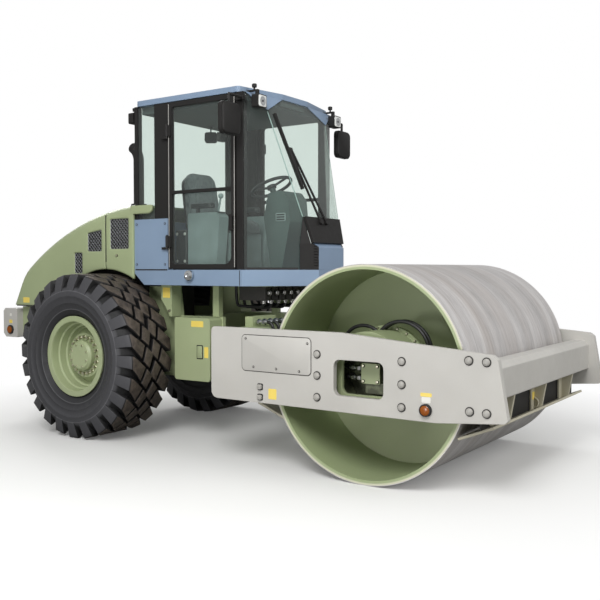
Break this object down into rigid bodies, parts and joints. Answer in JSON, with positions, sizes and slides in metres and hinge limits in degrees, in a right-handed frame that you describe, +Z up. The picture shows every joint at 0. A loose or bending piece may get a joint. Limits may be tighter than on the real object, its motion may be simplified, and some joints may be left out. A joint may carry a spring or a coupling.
{
  "type": "single drum soil roller",
  "caption": "Articulated road roller with a smooth steel drum in a front frame, rubber tyres at the rear, glazed cab and sloping engine hood; it steers at a middle pivot to compact soil.",
  "frame": {"origin": "on the ground under the middle of the bounding box", "axes": "+X forward towards the drum, +Y to the left of the driver, +Z up"},
  "size_m": [5.7138, 2.382, 3.125],
  "materials": {
    "green_paint": "satin",
    "grey_paint": "satin",
    "blue_paint": "satin",
    "black_paint": "satin",
    "drum_steel": "rolled",
    "steel": "machined",
    "chrome": "polished",
    "axle_iron": "rough",
    "rubber": "matt",
    "tyre": "matt",
    "glass": "clear",
    "fabric": "woven",
    "trim": "grained",
    "amber_lens": "clear"
  },
  "bodies": {
    "rear_unit": {"frame_rails": "green_paint", "tongue": "green_paint", "tanks": "green_paint", "rear_axle": "axle_iron", "engine": "axle_iron", "bumper": "grey_paint", "rear_lamps": "amber_lens", "shroud": "green_paint", "shroud_grilles": "black_paint", "exhaust": "black_paint", "cab_supports": "green_paint", "cab_base": "blue_paint", "cab_side_panels": "blue_paint", "cab_rear_panel": "blue_paint", "cab_posts": "black_paint", "headliner": "trim", "cab_roof": "blue_paint", "windscreen": "glass", "dash_panel": "black_paint", "cab_nose": "blue_paint", "cab_glass": "glass", "seat_base": "trim", "seat_cushion": "fabric", "seat_back": "fabric", "console": "trim", "steering_column": "trim", "steering_wheel": "trim", "mirrors": "black_paint", "work_lamps": "black_paint", "wiper": "black_paint"},
    "front_unit": {"side_plate_right": "grey_paint", "side_plate_left": "grey_paint", "front_beam": "grey_paint", "rear_beam": "green_paint", "carrier_right": "green_paint", "carrier_left": "green_paint", "buffers": "rubber", "fittings": "chrome", "hoses": "rubber", "scrapers": "grey_paint", "scraper_sheet": "rubber", "side_lamps": "amber_lens", "pivot_pin": "steel"},
    "drum": {"drum_shell": "drum_steel", "drum_ends": "green_paint"},
    "wheel_right": {"tyre_right": "tyre", "rim_right": "green_paint"},
    "wheel_left": {"tyre_left": "tyre", "rim_left": "green_paint"},
    "hood": {"hood": "green_paint", "hood_grilles": "black_paint"},
    "door_right": {"door_frame_right": "black_paint", "door_glass_right": "glass"},
    "door_left": {"door_frame_left": "black_paint", "door_glass_left": "glass"},
    "ram_right": {"ram_barrel_right": "black_paint"},
    "rod_right": {"ram_rod_right": "chrome"},
    "ram_left": {"ram_barrel_left": "black_paint"},
    "rod_left": {"ram_rod_left": "chrome"}
  },
  "joints": [
    {"name": "steering", "type": "hinge", "parent": "rear_unit", "child": "front_unit", "pos_m": [0.1825, 0, 0.82], "axis": [0, 0, 1], "range_deg": [-35, 35]},
    {"name": "drum_spin", "type": "hinge", "parent": "front_unit", "child": "drum", "pos_m": [1.7425, 0, 0.8], "axis": [0, 1, 0], "continuous": true},
    {"name": "wheel_right_spin", "type": "hinge", "parent": "rear_unit", "child": "wheel_right", "pos_m": [-1.2875, -0.869, 0.76], "axis": [0, 1, 0], "continuous": true},
    {"name": "wheel_left_spin", "type": "hinge", "parent": "rear_unit", "child": "wheel_left", "pos_m": [-1.2875, 0.869, 0.76], "axis": [0, 1, 0], "continuous": true},
    {"name": "hood_tilt", "type": "hinge", "parent": "rear_unit", "child": "hood", "pos_m": [-1.2895, 0, 2.136], "axis": [0, 1, 0], "range_deg": [0, 55]},
    {"name": "door_right_swing", "type": "hinge", "parent": "rear_unit", "child": "door_right", "pos_m": [-0.4935, -0.716, 1.8], "axis": [0, 0, -1], "range_deg": [0, 95]},
    {"name": "door_left_swing", "type": "hinge", "parent": "rear_unit", "child": "door_left", "pos_m": [-0.4935, 0.716, 1.8], "axis": [0, 0, 1], "range_deg": [0, 95]},
    {"name": "ram_right_swing", "type": "hinge", "parent": "rear_unit", "child": "ram_right", "pos_m": [-0.4175, -0.24, 0.82], "axis": [0, 0, 1], "range_deg": [-6, 6]},
    {"name": "rod_right_slide", "type": "slide", "parent": "ram_right", "child": "rod_right", "axis": [1, 0, 0], "range_m": [-0.15, 0.15]},
    {"name": "ram_left_swing", "type": "hinge", "parent": "rear_unit", "child": "ram_left", "pos_m": [-0.4175, 0.24, 0.82], "axis": [0, 0, 1], "range_deg": [-6, 6]},
    {"name": "rod_left_slide", "type": "slide", "parent": "ram_left", "child": "rod_left", "axis": [1, 0, 0], "range_m": [-0.15, 0.15]}
  ],
  "couplings": [
    {"joint": "ram_right_swing", "follows": "steering", "ratio": 0.134},
    {"joint": "ram_left_swing", "follows": "steering", "ratio": 0.134},
    {"joint": "rod_right_slide", "follows": "steering", "m_per_rad": 0.2307},
    {"joint": "rod_left_slide", "follows": "steering", "m_per_rad": -0.2307}
  ]
}
